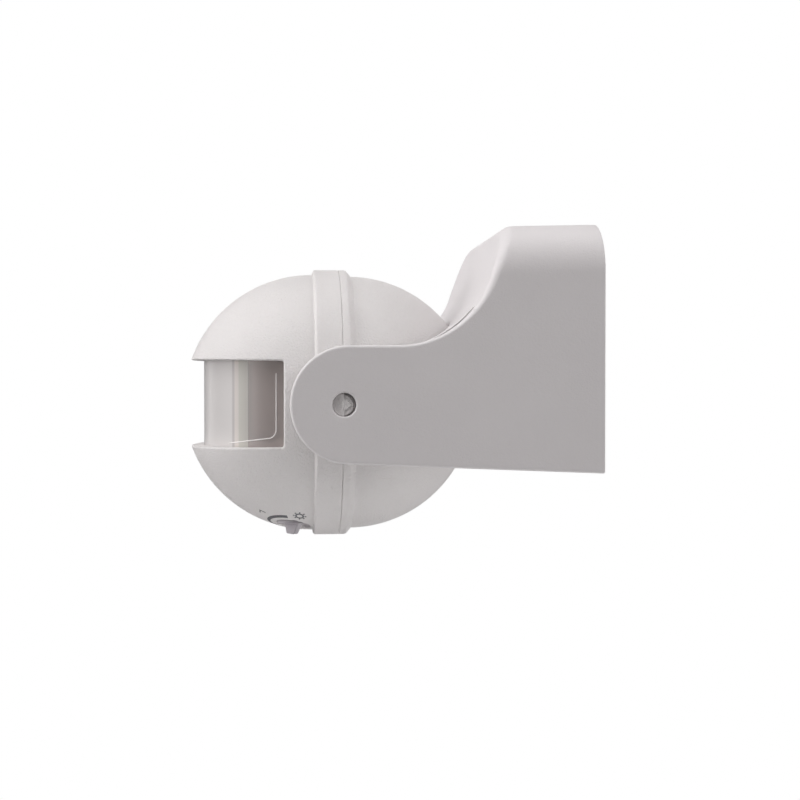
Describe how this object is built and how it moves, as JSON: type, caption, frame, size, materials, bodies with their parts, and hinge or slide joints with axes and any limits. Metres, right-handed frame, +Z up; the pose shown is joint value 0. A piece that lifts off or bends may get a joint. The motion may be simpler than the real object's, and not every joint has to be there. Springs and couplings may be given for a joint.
{
  "type": "motion sensor",
  "caption": "Wall-mounted motion sensor: a ball-shaped detector head with a wide window tilts between two arms of a box bracket, with two setting knobs under the head.",
  "frame": {"origin": "centre of the face that sits on the wall", "axes": "+X along the tilt axis, -Y out from the wall towards the front, +Y into the wall, +Z up"},
  "size_m": [0.0772, 0.1016, 0.0798],
  "materials": {
    "shell_plastic": "fine spark-eroded texture",
    "bracket_plastic": "fine moulded texture",
    "inner_plastic": "smooth moulded",
    "lens_plastic": "milky, ribbed inside",
    "knob_plastic": "smooth moulded",
    "black_rubber": "matt",
    "grey_sheath": "satin",
    "lead_insulation": "satin",
    "zinc_steel": "zinc plated",
    "brass": "turned",
    "circuit_board": "solder mask",
    "sensor_can": "nickel plated",
    "sensor_filter": "dark filter",
    "led_plastic": "clear red",
    "component_blue": "moulded",
    "component_red": "dipped",
    "component_black": "moulded",
    "component_cream": "moulded"
  },
  "bodies": {
    "bracket": {"bracket_housing": "bracket_plastic", "wall_plate": "inner_plastic", "plate_gasket": "black_rubber", "cable_grommet": "black_rubber", "housing_screws": "zinc_steel", "terminal_block": "inner_plastic", "terminal_tubes": "brass", "terminal_screws": "zinc_steel", "block_screws": "zinc_steel", "cord_clamp": "inner_plastic", "clamp_screws": "zinc_steel", "cable_tail": "grey_sheath", "terminal_leads": "lead_insulation"},
    "head": {"front_shell": "shell_plastic", "rear_shell": "shell_plastic", "shell_seal": "black_rubber", "shell_screws": "zinc_steel", "lens": "lens_plastic", "lens_frame": "inner_plastic", "main_pcb": "circuit_board", "pcb_screws": "zinc_steel", "pir_sensor": "sensor_can", "pir_window": "sensor_filter", "pir_holder": "inner_plastic", "light_sensor": "component_cream", "status_led": "led_plastic", "relay": "component_blue", "film_capacitor": "component_red", "electrolytic_capacitors": "component_black", "varistor": "component_blue", "fuse_resistor": "component_cream", "rectifier_diodes": "component_black", "resistors": "component_cream", "control_ic": "component_black", "lux_trimmer": "component_cream", "time_trimmer": "component_cream", "knob_seals": "black_rubber", "cable_bush": "black_rubber", "head_cable": "grey_sheath", "head_leads": "lead_insulation"},
    "lux_dial": {"lux_knob": "knob_plastic"},
    "time_dial": {"time_knob": "knob_plastic"}
  },
  "joints": [
    {"name": "head_tilt", "type": "hinge", "parent": "bracket", "child": "head", "pos_m": [0, -0.0632, -0.014], "axis": [1, 0, 0], "range_deg": [-10, 30]},
    {"name": "lux_turn", "type": "hinge", "parent": "head", "child": "lux_dial", "pos_m": [0.01, -0.0749, -0.045], "axis": [0, 0, 1], "range_deg": [-135, 135]},
    {"name": "time_turn", "type": "hinge", "parent": "head", "child": "time_dial", "pos_m": [-0.01, -0.0749, -0.045], "axis": [0, 0, 1], "range_deg": [-135, 135]}
  ]
}
